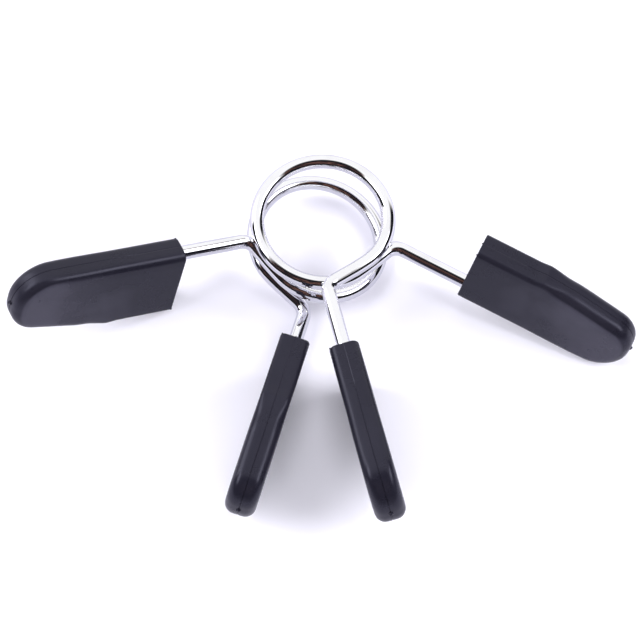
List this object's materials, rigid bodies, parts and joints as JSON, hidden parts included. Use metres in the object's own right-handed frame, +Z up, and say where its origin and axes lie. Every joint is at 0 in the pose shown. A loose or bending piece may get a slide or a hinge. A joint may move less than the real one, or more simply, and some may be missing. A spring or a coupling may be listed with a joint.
{
  "type": "barbell collar",
  "caption": "Spring collars for a barbell sleeve, a stacked pair: each a bent chromed wire coil with two moulded black squeeze grips.",
  "frame": {"origin": "on the table, under the middle of the pair's outline", "axes": "+X to the right across the pair, from the left grip's tip to the right grip's tip; +Y away from the front grips towards the coils; +Z up from the table, near the coils' bores"},
  "size_m": [0.2598, 0.168, 0.0514],
  "materials": {
    "chromed_wire": "bright chrome plate on spring steel wire",
    "grip_plastic": "satin black moulded plastic"
  },
  "bodies": {
    "lower_collar": {"lower_coil": "chromed_wire", "lower_left_leg": "chromed_wire", "lower_left_grip": "grip_plastic"},
    "lower_front_handle": {"lower_front_leg": "chromed_wire", "lower_front_grip": "grip_plastic"},
    "upper_collar": {"upper_coil": "chromed_wire", "upper_front_leg": "chromed_wire", "upper_front_grip": "grip_plastic"},
    "upper_right_handle": {"upper_right_leg": "chromed_wire", "upper_right_grip": "grip_plastic"}
  },
  "joints": [
    {"name": "lower_squeeze", "type": "hinge", "parent": "lower_collar", "child": "lower_front_handle", "pos_m": [-0.00364, 0.05356, 0.00898], "axis": [-0.2437, 0.0847, -0.9662], "range_deg": [0, 45], "stiffness_Nm_per_rad": 20, "deforming": ["lower_coil"]},
    {"name": "upper_lift", "type": "slide", "parent": "lower_collar", "child": "upper_collar", "axis": [0, 0, 1], "range_m": [0, 0.06]},
    {"name": "upper_squeeze", "type": "hinge", "parent": "upper_collar", "child": "upper_right_handle", "pos_m": [-0.00214, 0.05246, 0.02609], "axis": [-0.0354, 0.1042, -0.9939], "range_deg": [0, 45], "stiffness_Nm_per_rad": 20, "deforming": ["upper_coil"]}
  ]
}
